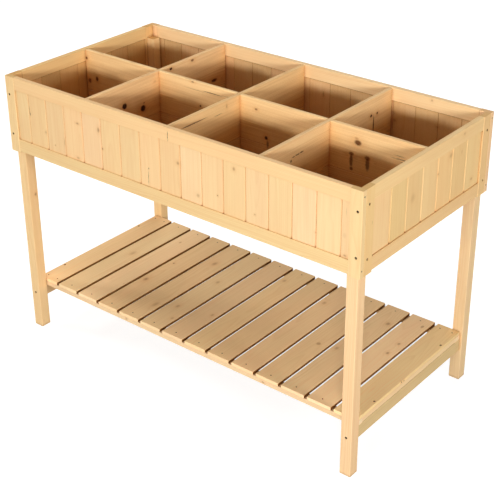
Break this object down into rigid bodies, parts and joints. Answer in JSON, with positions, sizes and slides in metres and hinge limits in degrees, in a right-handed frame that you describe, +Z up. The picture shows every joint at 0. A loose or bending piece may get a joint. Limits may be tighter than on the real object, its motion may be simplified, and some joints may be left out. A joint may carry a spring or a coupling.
{
  "type": "herb planter stand",
  "caption": "Raised softwood planter box with divided herb pockets on four legs and a slatted storage shelf below.",
  "frame": {"origin": "middle of the footprint, on the floor under the legs", "axes": "+X to the right along the box's length, +Y to the back, +Z up"},
  "size_m": [1.22, 0.612, 0.828],
  "materials": {
    "frame_timber": "bare planed softwood, matt",
    "board_timber": "bare planed softwood, matt",
    "divider_timber": "bare planed softwood, matt",
    "floor_timber": "bare sawn softwood, matt",
    "shelf_timber": "bare planed softwood, matt",
    "screw_steel": "dull zinc plated",
    "nail_steel": "dull bright-drawn"
  },
  "bodies": {
    "root": {"leg_front_left": "frame_timber", "leg_front_right": "frame_timber", "leg_back_left": "frame_timber", "leg_back_right": "frame_timber", "front_top_rail": "frame_timber", "front_bottom_rail": "frame_timber", "front_left_stile": "frame_timber", "front_right_stile": "frame_timber", "back_top_rail": "frame_timber", "back_bottom_rail": "frame_timber", "back_left_stile": "frame_timber", "back_right_stile": "frame_timber", "left_top_rail": "frame_timber", "left_bottom_rail": "frame_timber", "left_front_stile": "frame_timber", "left_back_stile": "frame_timber", "right_top_rail": "frame_timber", "right_bottom_rail": "frame_timber", "right_front_stile": "frame_timber", "right_back_stile": "frame_timber", "front_boards": "board_timber", "back_boards": "board_timber", "left_boards": "board_timber", "right_boards": "board_timber", "long_divider_upper": "divider_timber", "long_divider_lower": "divider_timber", "cross_divider_left_upper": "divider_timber", "cross_divider_left_lower": "divider_timber", "cross_divider_middle_upper": "divider_timber", "cross_divider_middle_lower": "divider_timber", "cross_divider_right_upper": "divider_timber", "cross_divider_right_lower": "divider_timber", "floor_bearer_front": "floor_timber", "floor_bearer_back": "floor_timber", "floor_boards": "floor_timber", "shelf_batten_front": "shelf_timber", "shelf_batten_back": "shelf_timber", "shelf_batten_left": "shelf_timber", "shelf_batten_right": "shelf_timber", "shelf_end_rail_left": "shelf_timber", "shelf_end_rail_right": "shelf_timber", "slat_1": "shelf_timber", "slat_2": "shelf_timber", "slat_3": "shelf_timber", "slat_4": "shelf_timber", "slat_5": "shelf_timber", "slat_6": "shelf_timber", "slat_7": "shelf_timber", "slat_8": "shelf_timber", "slat_9": "shelf_timber", "slat_10": "shelf_timber", "slat_11": "shelf_timber", "slat_12": "shelf_timber", "slat_13": "shelf_timber", "slat_14": "shelf_timber", "short_screws": "screw_steel", "long_screws": "screw_steel", "short_nails": "nail_steel", "long_nails": "nail_steel"}
  },
  "joints": []
}
